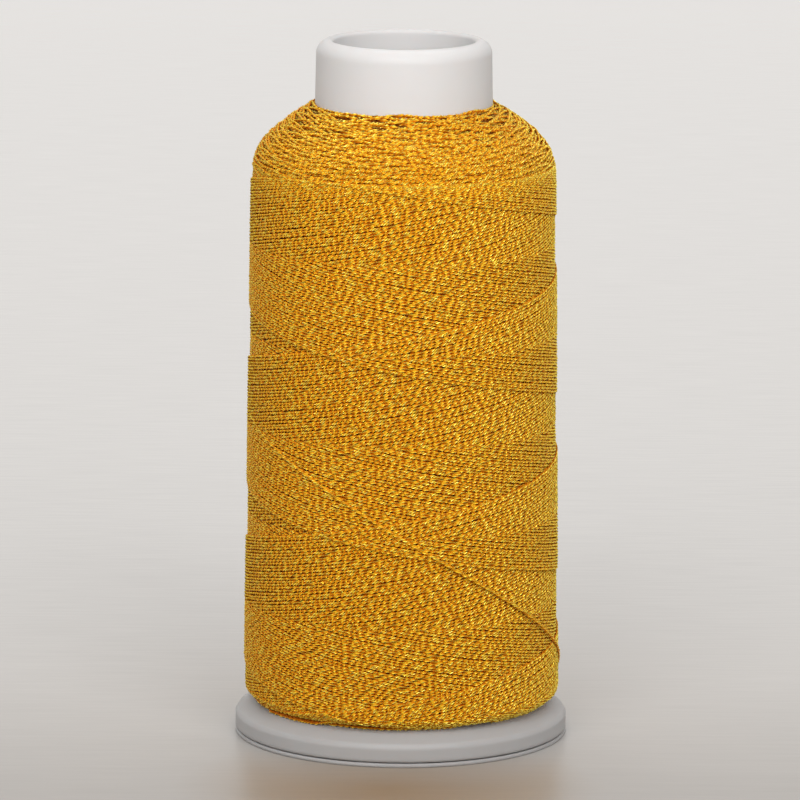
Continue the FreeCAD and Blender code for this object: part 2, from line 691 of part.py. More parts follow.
os.makedirs("parts", exist_ok=True)
for part in parts:
    part.Shape.exportStep(f"parts/{part.Label}.step")
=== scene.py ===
# King spool of gold sewing thread on a pale table: plastics, wound strands, light and camera, in metres.

import math

import bmesh
import bpy
import numpy as np
from mathutils import Matrix, Vector


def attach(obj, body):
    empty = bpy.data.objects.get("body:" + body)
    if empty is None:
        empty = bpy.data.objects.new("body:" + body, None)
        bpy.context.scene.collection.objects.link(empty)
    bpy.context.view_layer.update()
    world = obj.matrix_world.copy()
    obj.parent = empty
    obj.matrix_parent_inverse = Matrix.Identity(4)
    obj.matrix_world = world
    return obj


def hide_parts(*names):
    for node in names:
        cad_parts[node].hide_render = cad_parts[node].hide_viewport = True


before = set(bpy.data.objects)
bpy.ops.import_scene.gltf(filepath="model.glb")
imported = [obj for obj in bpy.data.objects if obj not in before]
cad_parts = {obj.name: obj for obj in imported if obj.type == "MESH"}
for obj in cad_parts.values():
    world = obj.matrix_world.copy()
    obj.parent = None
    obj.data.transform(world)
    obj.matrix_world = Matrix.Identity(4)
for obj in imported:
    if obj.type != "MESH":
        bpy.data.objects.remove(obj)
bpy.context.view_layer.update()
MM = 0.001

# Lengths are in millimetres, except those of the camera, the lamps, the materials and the table, which are
# in metres. A turn is once round the spool.

# A strand: plies that turn round each other, and the length in which they come round once

THREAD_DIA = 0.60
THREAD_RADIUS = THREAD_DIA / 2
VALLEY_DEPTH = 0.14
PLIES = 3
SECTION_CORNERS = 2 * PLIES
LAY = 2.88
RINGS_PER_LAY = 6
RING_STEP = LAY / RINGS_PER_LAY

# The winding: strands each way, levels that one turn climbs or falls, the turn by which each way is shifted
# round the spool, how much a layer adds, and the scatter of a strand's level

STRANDS = 60
UP_CLIMB = 31.28
DOWN_CLIMB = 30.92
UP_START = 0.337
DOWN_START = 0.8365
LAYER = 0.30
STRAND_SCATTER = 0.02

# The levels where the winding turns back, how wide its bends are there, how far past them a strand is laid
# and shows, and from where and how steeply it sinks under the others

MIDDLE_LEVEL = 50.0
TURN_BACK_TOP = 101.07
TURN_BACK_FOOT = 5.1
TOP_BEND = 12.0
FOOT_BEND = 7.0
LAID_PAST_END = 16.0
SHOWN_PAST_END = 12
SINKS_PAST_END = 4
SINK = 0.12

# How many strands further a strand runs on under newer ones, and the least rings that a run has

OVERLAP = 2.2
LEAST_RINGS = 6

# The package's outline: lines by radius, level and radius gained for each level, and how softly they meet

FOOT_LINE = (24.6, 5.8, 1.86)
SIDE_LINE = (27.15, 5.8, -0.0125)
SHOULDER_LINE = (15.4, 110.5, -1.22)
CROWN_LINE = (15.3, 109.6, -1.56)
FOOT_SOFTNESS = 0.6
SHOULDER_SOFTNESS = 1.7
CROWN_SOFTNESS = 0.3
CROWN_TOP = 109.5
SLOPE_SPAN = 0.1

# The arcs on the shoulder: their number, the lowest level, the scatter of levels, and the turn between two

ARCS = 330
ARCS_FOOT = 98.6
ARC_SCATTER = 0.1
ARC_SPACING = 0.381966

# An arc's course: least and most width of its bend, least and most half of its length, how steeply it falls
# away to both sides, and the most that it leans

ARC_BENDS = (2.5, 6)
ARC_HALVES = (17, 25)
ARC_STEEPNESS = 0.186
ARC_LEAN = 0.03

# An arc's height: its scatter, how far it sinks for each millimetre that it falls, the length and depth of
# its ends, which go under the others, and how far one side lies higher and the other lower

ARC_LIFT = 0.1
ARC_SINK = 0.3
ARC_END = 6
ARC_END_DEPTH = 0.45
ARC_CROSSING = 0.1
ARC_CROSSING_LENGTH = 4

# Full turns under the arcs: where they end, how far apart they lie, and their height over the outline

UNDER_FOOT = 98
UNDER_SPACING = 0.95 * THREAD_DIA
UNDER_HEIGHT = -0.42 - THREAD_RADIUS

# The flange that the foot of the thread lies on: radius and level of its edge, and how steeply it falls

FLANGE_EDGE = (28.5, 3.75)
FLANGE_FALL = math.tan(math.radians(28))
OVER_FLANGE = THREAD_RADIUS * math.hypot(1, FLANGE_FALL)

# Strands on the flange: degrees from the front at both ends, radius, and how much each climbs at its end

FOOT_STRANDS = (
    (-180, 180, 24.35, 0.0),
    (-150, 32, 24.95, 1.35),
    (-62, -24, 25.3, 0.9),
    (38, 165, 24.9, 0.8),
    (170, 250, 24.95, 1.0),
)
FOOT_CLIMB_LENGTH = 5
FOOT_CLIMB_OUT = 0.6
FOOT_CLIMB_UP = 1.4

# The tail, in turns from the front: its start, its knee, where it grows steeper, and where it leaves the
# winding

TAIL_START = -0.62
TAIL_KNEE = -50 / 360
TAIL_KNEE_SOFTNESS = 0.11
TAIL_OFF = 101 / 360

# The tail's level at the front, its fall for each turn, what the knee adds to that, and its points' spacing

TAIL_LEVEL = 39.2
TAIL_FALL = 30.9
TAIL_MORE_FALL = 78.0
TAIL_GIRTH = 167
TAIL_STEP = 0.5

# The turns between which the tail rises from between its neighbours, and its heights there in diameters

TAIL_RISE = (-0.2, 0.06)
TAIL_HEIGHTS = (-0.35, 0.35)

# The tail's end, over the flange's edge: degrees to the right of the front, radius and level

TAIL_END = (
    (107, 28.35, 6.35),
    (112.5, 28.95, 4.15),
    (116, 29.0, 2.5),
    (118.6, 28.95, 1.3),
    (119, 28.3, 1.05),
)

# The body of thread under the strands: how deep it lies, how much deeper from the shoulder up, and its ends

BED_DEPTH = 0.62
BED_SHOULDER_DEPTH = 0.35
BED_SHOULDER = 97
BED_SHOULDER_LENGTH = 2
BED_FOOT = 6.4
BED_TOP = 108.7
BED_RINGS = 90

# The hollow in the body, round the barrel: its radius and where it starts

BED_BORE = 15.45
BED_BORE_FOOT = 10.8

# Pieces of the winding: the lowest and highest level that the middle of a run has in each

BANDS = {
    "foot_winding": (0, 18),
    "lower_winding": (18, 36),
    "waist_winding": (36, 48),
    "middle_winding": (48, 54),
    "upper_winding": (54, 73),
    "high_winding": (73, 86),
    "top_winding": (86, 200),
}

# The tile that the thread's colours are mapped on: columns of strands, and lays along each

COLUMNS = 16
TILE_LAYS = 12
TILE_RINGS = TILE_LAYS * RINGS_PER_LAY

# Camera and lamps. Each lamp has its name, its degrees to the right of the front, its distance, height and
# size, and its radiance.

CAMERA_PLACE = (0.0, -1.1418, 0.2799)
CAMERA_PITCH = 11.01
CAMERA_ROLL = 0.31
CAMERA_LENS = 305.75
CAMERA_SENSOR = 36
CAMERA_SHIFT = -0.0029
CAMERA_REACH = 20
LAMP_TARGET = (0, 0, 0.08)
LAMPS = (
    ("left_softbox", -17, 0.32, 0.29, 0.18, 6.5),
    ("right_softbox", 20, 0.32, 0.29, 0.18, 6.3),
    ("back_softbox", 180, 0.4, 0.9, 0.5, 3.0),
)

PLASTIC_TINT = (0.592, 0.578, 0.573)

chance = np.random.default_rng(11)

# How far each ring of a strand is turned ahead of an even twist, in radians: waves that fit the tile

TWIST_UNEVENNESS = 0.65
TWIST_WAVES = (2, 3, 5, 7)
UNEVEN_TWIST = TWIST_UNEVENNESS * sum(
    np.sin(2 * np.pi * (np.arange(TILE_RINGS) * waves / TILE_RINGS + chance.random()))
    for waves in TWIST_WAVES
)


# Outline of the wound thread

def soft_least(first, second, softness):
    return -softness * np.logaddexp(-first / softness, -second / softness)


def on_line(line, level):
    radius, at_level, gain = line
    return radius + gain * (level - at_level)


def package_radius(level):
    body = soft_least(on_line(SIDE_LINE, level), on_line(FOOT_LINE, level), FOOT_SOFTNESS)
    body = soft_least(body, on_line(SHOULDER_LINE, level), SHOULDER_SOFTNESS)
    return soft_least(body, on_line(CROWN_LINE, level), CROWN_SOFTNESS)


def package_slope(level):
    """The radius that the package gains for each level."""
    above = package_radius(level + SLOPE_SPAN / 2)
    below = package_radius(level - SLOPE_SPAN / 2)
    return (above - below) / SLOPE_SPAN


def girth(level):
    return 2 * np.pi * package_radius(level)


def round_spool(turn, radius, level):
    """Points by turn to the right of the front, radius and level."""
    angle = 2 * np.pi * turn
    return np.stack([radius * np.sin(angle), -radius * np.cos(angle), level], axis=-1)


def on_package(turn, level, height):
    """Points at a height over the package's outline, by turn from the front and level."""
    slope = package_slope(level)
    length = np.sqrt(1 + slope ** 2)
    return round_spool(turn, package_radius(level) + height / length, level - height * slope / length)


# Course of the strands

def wander(distance, size, least, most, waves=4):
    """A smooth random line of about a size along a distance, made of waves from least to most in length."""
    total = np.zeros_like(distance)
    for _ in range(waves):
        length = chance.uniform(least, most)
        total += np.sin(2 * np.pi * (distance / length + chance.random()))
    return size * (total / math.sqrt(waves))


def smooth_step(share):
    share = np.clip(share, 0, 1)
    return share * share * (3 - 2 * share)


def unbent(level):
    """The level that an unbent strand would have where a bent one has the given level."""
    steep = UP_CLIMB / girth(MIDDLE_LEVEL)
    top = np.clip(TURN_BACK_TOP - level, steep * TOP_BEND, None)
    foot = np.clip(level - TURN_BACK_FOOT, steep * FOOT_BEND, None)
    level = level + (top - np.sqrt(top ** 2 - (steep * TOP_BEND) ** 2))
    return level - (foot - np.sqrt(foot ** 2 - (steep * FOOT_BEND) ** 2))


def lay_strand(rising, index):
    """Runs of one strand where it shows, each a list of points in the direction of the winding."""
    climb = UP_CLIMB if rising else DOWN_CLIMB
    taking_turns = 0.25 if rising else 0.75
    age = (index + taking_turns) / STRANDS
    steep = climb / girth(MIDDLE_LEVEL)
    turn_length = math.hypot(climb, girth(MIDDLE_LEVEL))
    travel = (TURN_BACK_TOP - TURN_BACK_FOOT) / climb
    past = LAID_PAST_END / turn_length
    climbed = np.arange(-past, travel + past, RING_STEP / turn_length)
    straight = TURN_BACK_FOOT + climbed * climb
    if rising:
        turn = straight / climb - UP_START + age
    else:
        turn = age - DOWN_START - straight / climb
    distance = climbed * turn_length

    # The course is bent round where it would pass the ends.
    from_top = (straight - TURN_BACK_TOP) / steep
    from_foot = (straight - TURN_BACK_FOOT) / steep
    level = straight - steep * (from_top + np.hypot(from_top, TOP_BEND))
    level += steep * (np.hypot(from_foot, FOOT_BEND) - from_foot)
    past_end = np.maximum(from_top, -from_foot)

    # An age is 0 for the newest strands and 1 for the oldest. Where two cross, the newer one lies on top.
    free = unbent(level)
    up_age = np.mod(turn - free / UP_CLIMB + UP_START, 1)
    down_age = np.mod(turn + free / DOWN_CLIMB + DOWN_START, 1)
    other = down_age if rising else up_age
    under = 1 - smooth_step((other - age) * STRANDS + 0.5)
    height = LAYER * (1 - age - other) - LAYER * under - THREAD_RADIUS
    height -= np.clip(past_end - SINKS_PAST_END, 0, None) * SINK
    height += wander(distance, size=0.03, least=5, most=20)
    level = level + wander(distance, size=0.035, least=5, most=40)
    level = level + STRAND_SCATTER * chance.standard_normal()

    # A strand is left out where newer ones hide it.
    margin = OVERLAP / STRANDS
    shown = (other > age - margin) | (other < margin)
    shown &= past_end < SHOWN_PAST_END
    places = on_package(turn, level, height)
    cuts = np.flatnonzero(np.diff(shown.astype(int))) + 1
    parts = np.split(np.arange(len(turn)), cuts)
    runs = [run for run in parts if shown[run[0]] and len(run) > LEAST_RINGS]
    return [places[run if rising else run[::-1]] for run in runs]


def lay_shoulder():
    """Arcs where the older layers turned back, from the collar down to the shoulder's round."""
    runs = []
    for index in range(ARCS):
        share = index / (ARCS - 1)
        level = CROWN_TOP - (CROWN_TOP - ARCS_FOOT) * share + ARC_SCATTER * chance.standard_normal()
        level = min(level, CROWN_TOP)
        bend = chance.uniform(*ARC_BENDS)
        half = chance.uniform(*ARC_HALVES)
        distance = np.arange(-half, half, RING_STEP)
        turn = index * ARC_SPACING + distance / girth(level)
        lean = chance.uniform(-ARC_LEAN, ARC_LEAN)
        drop = ARC_STEEPNESS * (np.hypot(distance, bend) - bend) + distance * lean
        ends = smooth_step((np.abs(distance) - half + ARC_END) / ARC_END)
        height = chance.uniform(-ARC_LIFT, ARC_LIFT) - ARC_SINK * np.clip(drop, 0, None)
        height = height - THREAD_RADIUS - ARC_END_DEPTH * ends
        crossing = ARC_CROSSING * np.sin(2 * np.pi * turn) * np.tanh(distance / ARC_CROSSING_LENGTH)
        height += wander(distance, size=0.04, least=6, most=20) - crossing
        fallen = level - drop + wander(distance, size=0.05, least=8, most=30)
        runs.append(on_package(turn, fallen, height))
    return runs


def lay_under_shoulder():
    """Full turns under the shoulder's arcs, from the collar down."""
    levels = [CROWN_TOP]
    while levels[-1] > UNDER_FOOT:
        slope = (package_radius(levels[-1]) - package_radius(levels[-1] - SLOPE_SPAN)) / SLOPE_SPAN
        levels.append(levels[-1] - UNDER_SPACING / math.hypot(1, slope))
    runs = []
    for level in levels:
        length = girth(level)
        distance = np.arange(0, length + 1, RING_STEP)
        turn = chance.random() + distance / length
        swing = wander(distance, size=0.04, least=15, most=60)
        runs.append(on_package(turn, level + swing, np.full_like(turn, UNDER_HEIGHT)))
    return runs


def lay_foot():
    """The lowest strands, which lie on the flange, over each other, and climb onto the winding."""
    runs = []
    for start, finish, radius, climb in FOOT_STRANDS:
        distance = np.arange(0, math.radians(finish - start) * radius, RING_STEP)
        turn = (start + np.degrees(distance / radius)) / 360
        rise = climb * smooth_step((distance - distance[-1] + FOOT_CLIMB_LENGTH) / FOOT_CLIMB_LENGTH)
        radius = radius + wander(distance, size=0.05, least=8, most=30) + FOOT_CLIMB_OUT * rise
        level = FLANGE_EDGE[1] + (FLANGE_EDGE[0] - radius) * FLANGE_FALL + OVER_FLANGE
        runs.append(round_spool(turn, radius, level + FOOT_CLIMB_UP * rise))
    return runs


def lay_tail():
    """The loose end: over the winding, steeper and steeper, over the flange's edge and into the seam."""
    turn = np.arange(TAIL_START, TAIL_OFF, TAIL_STEP / TAIL_GIRTH)
    past_knee = (turn - TAIL_KNEE + np.hypot(turn - TAIL_KNEE, TAIL_KNEE_SOFTNESS)) / 2
    level = TAIL_LEVEL - TAIL_FALL * turn - TAIL_MORE_FALL * past_knee
    level += TAIL_LEVEL - np.interp(0.0, turn, level)
    height = THREAD_DIA * np.interp(turn, TAIL_RISE, TAIL_HEIGHTS)
    height += wander(turn * TAIL_GIRTH, size=0.04, least=8, most=30)
    wound = on_package(turn, level, height)
    over_edge = []
    for degrees, radius, high in TAIL_END:
        angle = math.radians(degrees)
        over_edge.append(Vector((radius * math.sin(angle), -radius * math.cos(angle), high)))
    return np.concatenate([wound, smooth_line(wound[-2], wound[-1], over_edge)])


def smooth_line(before, start, others):
    """Even points on a smooth line through others, from a start that has a point before it."""
    knots = [Vector(before), Vector(start), *others]
    knots.append(knots[-1] * 2 - knots[-2])
    points = []
    for first, second, third, fourth in zip(knots, knots[1:], knots[2:], knots[3:]):
        run = (third - second).length
        leave = (third - first).normalized() * run
        arrive = (fourth - second).normalized() * run
        for share in np.linspace(0, 1, max(round(run / RING_STEP), 2), endpoint=False)[1:]:
            of_second = 2 * share ** 3 - 3 * share ** 2 + 1
            of_leave = share ** 3 - 2 * share ** 2 + share
            of_third = 3 * share ** 2 - 2 * share ** 3
            of_arrive = share ** 3 - share ** 2
            points.append(second * of_second + leave * of_leave + third * of_third + arrive * of_arrive)
        points.append(third)
    return np.array([list(point) for point in points])


# Making meshes of strands

def ply_section():
    """The outline of three plies that lie together."""
    curve = bpy.data.curves.new("ply_section", "CURVE")
    curve.dimensions = "2D"
    spline = curve.splines.new("POLY")
    spline.points.add(SECTION_CORNERS - 1)
    for corner in range(SECTION_CORNERS):
        angle = -2 * math.pi * corner / SECTION_CORNERS
        radius = (THREAD_RADIUS - VALLEY_DEPTH * (corner % 2)) * MM
        spline.points[corner].co = (radius * math.cos(angle), radius * math.sin(angle), 0, 1)
    spline.use_cyclic_u = True
    section = bpy.data.objects.new("ply_section", curve)
    bpy.context.scene.collection.objects.link(section)
    return section


def twist_strands(name, runs, section, least_outward=-1.0):
    """Twisted strands of one section along runs of points. A high least_outward keeps their sides out of
    the painted shade.
    """
    starts = [int(chance.integers(TILE_RINGS)) for run in runs]
    curve = bpy.data.curves.new(name, "CURVE")
    curve.dimensions = "3D"
    curve.twist_mode = "Z_UP"
    curve.bevel_mode = "OBJECT"
    curve.bevel_object = section
    for run, start in zip(runs, starts):
        spline = curve.splines.new("POLY")
        count = len(run)
        spline.points.add(count - 1)
        places = np.ones((count, 4))
        places[:, :3] = run * MM
        spline.points.foreach_set("co", places.ravel())
        ring = start + np.arange(count)
        tilt = UNEVEN_TWIST[ring % TILE_RINGS] - ring * 2 * math.pi / RINGS_PER_LAY
        spline.points.foreach_set("tilt", tilt)
    form = bpy.data.objects.new(name, curve)
    bpy.context.scene.collection.objects.link(form)
    shown = form.evaluated_get(bpy.context.evaluated_depsgraph_get())
    mesh = bpy.data.meshes.new_from_object(shown)
    bpy.data.objects.remove(form)
    close_ends(mesh)
    mesh.polygons.foreach_set("use_smooth", [False] * len(mesh.polygons))
    mark_strands(mesh, [len(run) for run in runs], starts)
    mark_outward(mesh, np.concatenate(runs), least_outward)
    piece = bpy.data.objects.new(name, mesh)
    bpy.context.scene.collection.objects.link(piece)
    return piece


def close_ends(mesh):
    shape = bmesh.new()
    shape.from_mesh(mesh)
    rims = [edge for edge in shape.edges if edge.is_boundary]
    bmesh.ops.holes_fill(shape, edges=rims, sides=SECTION_CORNERS)
    shape.to_mesh(mesh)
    shape.free()


def mark_outward(mesh, middles, least):
    """An attribute for the painted shade: 1 on the outside of a strand, 0 at its sides and never under the
    least.
    """
    points = np.empty(3 * len(mesh.vertices))
    mesh.vertices.foreach_get("co", points)
    points = points.reshape(-1, SECTION_CORNERS, 3) / MM
    radius = np.hypot(middles[:, 0], middles[:, 1])
    slope = package_slope(middles[:, 2])
    outward = np.stack([middles[:, 0] / radius, middles[:, 1] / radius, -slope], axis=-1)
    outward /= np.sqrt(1 + slope ** 2)[:, None]
    away = points - middles[:, None]
    away /= np.linalg.norm(away, axis=-1, keepdims=True)
    layer = mesh.attributes.new("outward", "FLOAT", "POINT")
    layer.data.foreach_set("value", np.maximum(np.einsum("rci,ri->rc", away, outward), least).ravel())


def mark_strands(mesh, counts, starts):
    """A UV map with the strands' sides in columns of one tile and their length along it."""
    if len(mesh.vertices) != SECTION_CORNERS * sum(counts):
        raise ValueError(f"{mesh.name} is unlike its runs: it has {len(mesh.vertices)} points")
    ring = np.concatenate([start + np.arange(count) for count, start in zip(counts, starts)])
    column = np.concatenate([np.full(count, int(chance.integers(COLUMNS))) for count in counts])
    vertex_of = np.empty(len(mesh.loops), dtype=np.int64)
    first_loop = np.empty(len(mesh.polygons), dtype=np.int64)
    sizes = np.empty(len(mesh.polygons), dtype=np.int64)
    mesh.loops.foreach_get("vertex_index", vertex_of)
    mesh.polygons.foreach_get("loop_start", first_loop)
    mesh.polygons.foreach_get("loop_total", sizes)
    face_of = np.repeat(np.arange(len(sizes)), sizes)
    side = vertex_of % SECTION_CORNERS
    along = ring[vertex_of // SECTION_CORNERS]
    first_ring = np.minimum.reduceat(along, first_loop)[face_of]
    last_side = np.maximum.reduceat(side, first_loop)[face_of]
    first_side = np.minimum.reduceat(side, first_loop)[face_of]

    # A face between the last side and the first has the column's far edge where its side is 0.
    wraps = (last_side - first_side > 1) & (side == 0) & (sizes[face_of] == 4)
    across = np.where(wraps, SECTION_CORNERS, side) / SECTION_CORNERS
    across = (across + column[vertex_of // SECTION_CORNERS]) / COLUMNS
    length = (first_ring % TILE_RINGS + (along - first_ring)) / TILE_RINGS
    layer = mesh.uv_layers.new(name="OFBake")
    layer.data.foreach_set("uv", np.stack([across, length], axis=-1).ravel())
    for other in [item for item in mesh.uv_layers if item.name != "OFBake"]:
        mesh.uv_layers.remove(other)


def lathe(name, outline, steps=128):
    """A closed body of revolution from an outline of radii and levels in millimetres."""
    shape = bmesh.new()
    points = [shape.verts.new((radius * MM, 0, level * MM)) for radius, level in outline]
    edges = [shape.edges.new(ends) for ends in zip(points, points[1:] + points[:1])]
    bmesh.ops.spin(
        shape, geom=points + edges, cent=(0, 0, 0), axis=(0, 0, 1),
        angle=2 * math.pi, steps=steps, use_merge=True,
    )
    bmesh.ops.recalc_face_normals(shape, faces=shape.faces)
    mesh = bpy.data.meshes.new(name)
    shape.to_mesh(mesh)
    shape.free()
    for face in mesh.polygons:
        face.use_smooth = True
    piece = bpy.data.objects.new(name, mesh)
    bpy.context.scene.collection.objects.link(piece)
    return piece


def make_bed(material):
    """The wound thread's body, just under the strands that show."""
    levels = np.linspace(BED_FOOT, BED_TOP, BED_RINGS)
    depths = BED_DEPTH + BED_SHOULDER_DEPTH * smooth_step((levels - BED_SHOULDER) / BED_SHOULDER_LENGTH)
    radii = package_radius(levels) - depths
    outside = [(float(radius), float(level)) for radius, level in zip(radii, levels)]
    inside = [(BED_BORE, BED_TOP), (BED_BORE, BED_BORE_FOOT)]
    return wear(lathe("wound_bed", outside + inside), material)


def wear(piece, material):
    piece.data.materials.clear()
    piece.data.materials.append(material)
    return piece


# Nodes of materials and of the world. The owner is the one that they are made in.

def new_material(name):
    material = bpy.data.materials.new(name)
    material.use_nodes = True
    nodes = material.node_tree.nodes
    nodes.clear()
    output = nodes.new("ShaderNodeOutputMaterial")
    shader = nodes.new("ShaderNodeBsdfPrincipled")
    link(material, shader.outputs[0], output.inputs[0])
    return material, shader


def node(owner, kind, **settings):
    made = owner.node_tree.nodes.new(kind)
    for name, value in settings.items():
        setattr(made, name, value)
    return made


def link(owner, source, target):
    owner.node_tree.links.new(source, target)


def set_inputs(made, values):
    for name, value in values.items():
        made.inputs[name].default_value = value


def maths(owner, operation, first, second=None):
    made = node(owner, "ShaderNodeMath", operation=operation)
    for socket, value in zip(made.inputs, (first, second)):
        if value is None:
            continue
        if isinstance(value, (int, float)):
            socket.default_value = value
        else:
            link(owner, value, socket)
    return made.outputs[0]


def ramp(owner, value, stops):
    made = node(owner, "ShaderNodeValToRGB")
    elements = made.color_ramp.elements
    while len(elements) < len(stops):
        elements.new(0.5)
    for element, (place, colour) in zip(elements, stops):
        element.position = place
        element.color = (*colour, 1)
    link(owner, value, made.inputs[0])
    return made.outputs[0]


def map_range(owner, value, first, last):
    """The share of the way that a value is from first to last."""
    made = node(owner, "ShaderNodeMapRange")
    set_inputs(made, {"From Min": first, "From Max": last})
    link(owner, value, made.inputs["Value"])
    return made.outputs[0]


def coordinates(owner, kind):
    return node(owner, "ShaderNodeTexCoord").outputs[kind]


def split(owner, vector):
    """The three parts of a vector, by their names X, Y and Z."""
    made = node(owner, "ShaderNodeSeparateXYZ")
    link(owner, vector, made.inputs[0])
    return made.outputs


def stretch(owner, place, scale, turned=0.0):
    """A place stretched by three scales and turned about Z, in radians."""
    made = node(owner, "ShaderNodeMapping")
    set_inputs(made, {"Scale": scale, "Rotation": (0, 0, turned)})
    link(owner, place, made.inputs["Vector"])
    return made.outputs[0]


def noise(owner, place, scale=1.0, detail=2.0, dimensions="3D"):
    made = node(owner, "ShaderNodeTexNoise", noise_dimensions=dimensions)
    set_inputs(made, {"Scale": scale, "Detail": detail})
    link(owner, place, made.inputs["Vector"])
    return made.outputs[0]


def tinted(owner, colour, tint):
    """A colour multiplied by another."""
    made = node(owner, "ShaderNodeMix", data_type="RGBA", blend_type="MULTIPLY")
    set_inputs(made, {"Factor": 1.0})
    link(owner, colour, made.inputs["A"])
    link(owner, tint, made.inputs["B"])
    return made.outputs["Result"]


# Materials of the spool

def gold_thread():
    """Trilobal polyester: painted sheen on the round plies, painted shade where they meet, with fine
    filaments along them.
    """
    material, shader = new_material("gold_thread")
    uv = node(material, "ShaderNodeUVMap", uv_map="OFBake").outputs[0]

    # Painted light: 1 on the crest of a ply, 0 in the valleys beside it, and less on the sides that face
    # other strands, where painted shade falls
    across = split(material, uv)["X"]
    lobe = maths(material, "FRACT", maths(material, "MULTIPLY", across, float(COLUMNS * PLIES)))
    from_middle = maths(material, "ABSOLUTE", maths(material, "SUBTRACT", lobe, 0.5))
    valley = maths(material, "SUBTRACT", 1.0, maths(material, "MULTIPLY", from_middle, 2.0))
    valley_sharpness = 1.4
    painted_ply_light = maths(material, "SUBTRACT", 1.0, maths(material, "POWER", valley, valley_sharpness))
    outward = node(material, "ShaderNodeAttribute", attribute_name="outward").outputs["Fac"]
    facing_aside, facing_out = 0.18, 0.82
    unshaded_side = map_range(material, outward, facing_aside, facing_out)
    painted_ply_light = maths(material, "MULTIPLY", painted_ply_light, unshaded_side)

    # Filaments at a slant along the plies make them lighter and darker
    filament_strength = 0.4
    filament_scale = (COLUMNS * PLIES * 4.0, TILE_LAYS * 3.0, 1)
    filaments = noise(material, stretch(material, uv, filament_scale, turned=0.25), dimensions="2D")
    value = maths(material, "ADD", painted_ply_light, maths(material, "MULTIPLY", filaments, filament_strength))
    value = maths(material, "SUBTRACT", value, filament_strength / 2)

    # The ramp paints red-brown shade in the valleys and between strands and a yellow sheen on the crests,
    # over the thread's own orange-gold
    colour = ramp(material, value, [
        (0.0, (0.49, 0.10, 0.0005)),
        (0.3, (0.79, 0.335, 0.0035)),
        (0.6, (0.88, 0.64, 0.034)),
        (1.0, (0.91, 0.82, 0.20)),
    ])
    link(material, colour, shader.inputs["Base Color"])
    valley_roughness = 0.60
    crest_polish = 0.28
    polish = maths(material, "MULTIPLY", value, crest_polish)
    link(material, maths(material, "SUBTRACT", valley_roughness, polish), shader.inputs["Roughness"])
    sheen_from = 0.35
    link(material, maths(material, "SUBTRACT", value, sheen_from), shader.inputs["Metallic"])
    set_inputs(shader, {"IOR": 1.7, "Specular IOR Level": 0.45, "Specular Tint": (1.0, 0.86, 0.14, 1)})
    bump = node(material, "ShaderNodeBump")
    set_inputs(bump, {"Strength": 1.0, "Distance": 0.00009})
    link(material, value, bump.inputs["Height"])
    link(material, bump.outputs[0], shader.inputs["Normal"])
    return material


def shaded_deep_thread():
    """The thread under the outer strands, seen only through their gaps, painted dark for the shade in them.
    """
    material, shader = new_material("shaded_deep_thread")
    grain = noise(material, coordinates(material, "Object"), scale=1800.0)
    # Painted shade: far darker than the strands over it, for the shade in their gaps
    colour = ramp(material, grain, [
        (0.3, (0.06, 0.012, 0.0005)),
        (0.7, (0.20, 0.055, 0.002)),
    ])
    link(material, colour, shader.inputs["Base Color"])
    set_inputs(shader, {"Roughness": 0.7, "Specular IOR Level": 0.1})
    return material


def white_plastic(name):
    """Moulded polypropylene: semi-gloss, a little uneven, softly grained, with painted shade darker towards
    the foot.
    """
    material, shader = new_material(name)
    place = coordinates(material, "Object")
    cloud = noise(material, place, scale=45.0, detail=3.0)
    cloud_strength = 0.12
    unevenness = maths(material, "MULTIPLY", cloud, cloud_strength)
    # Painted shade: the plastic darkens towards the foot, where less light reaches it
    spool_height = 0.12
    share_up = maths(material, "MULTIPLY", split(material, place)["Z"], 1 / spool_height)
    share_up = maths(material, "ADD", share_up, unevenness)
    painted_foot_shade = 0.64
    shaded_foot_tint = tuple(part * painted_foot_shade for part in PLASTIC_TINT)
    colour = ramp(material, share_up, [(0.1, shaded_foot_tint), (0.9, PLASTIC_TINT)])
    link(material, colour, shader.inputs["Base Color"])
    least_roughness = 0.40
    link(material, maths(material, "ADD", unevenness, least_roughness), shader.inputs["Roughness"])
    bevel = node(material, "ShaderNodeBevel")
    set_inputs(bevel, {"Radius": 0.0008})
    bump = node(material, "ShaderNodeBump")
    set_inputs(bump, {"Strength": 0.08, "Distance": 0.0001})
    link(material, bevel.outputs[0], bump.inputs["Normal"])
    link(material, noise(material, place, scale=900.0), bump.inputs["Height"])
    link(material, bump.outputs[0], shader.inputs["Normal"])
    set_inputs(shader, {
        "Specular IOR Level": 0.35,
        "Subsurface Weight": 0.3,
        "Subsurface Radius": (0.0045, 0.003, 0.0025),
    })
    return material


# Pieces of the spool. Their random draws follow each other, so the order of these calls shapes them.

gold = gold_thread()
section = ply_section()

runs = []
for strand in range(STRANDS):
    runs += lay_strand(True, strand)
    runs += lay_strand(False, strand)
middles = np.array([run[len(run) // 2][2] for run in runs])
pieces = []
for band, (low, high) in BANDS.items():
    chosen = [run for run, middle in zip(runs, middles) if low <= middle < high]
    if band == "foot_winding":
        chosen += lay_foot()
    pieces.append(twist_strands(band, chosen, section))
arcs = lay_shoulder()
half_way = len(arcs) // 2
pieces.append(twist_strands("shoulder_winding", arcs[half_way:], section))
pieces.append(twist_strands("collar_winding", arcs[:half_way], section))
pieces.append(twist_strands("under_shoulder", lay_under_shoulder(), section))
bed = make_bed(shaded_deep_thread())
tail = twist_strands("thread_tail", [lay_tail()], section, least_outward=0.15)
bpy.data.objects.remove(section)

for piece in [*pieces, tail]:
    wear(piece, gold)
for piece in [*pieces, bed, tail]:
    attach(piece, "spool")
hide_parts("thread_package")
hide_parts("outer_winding")

wear(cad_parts["spool_barrel"], white_plastic("barrel_plastic"))
wear(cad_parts["locking_base"], white_plastic("base_plastic"))


# Table, light and camera, in metres

def grey(value):
    return (value, value, value)


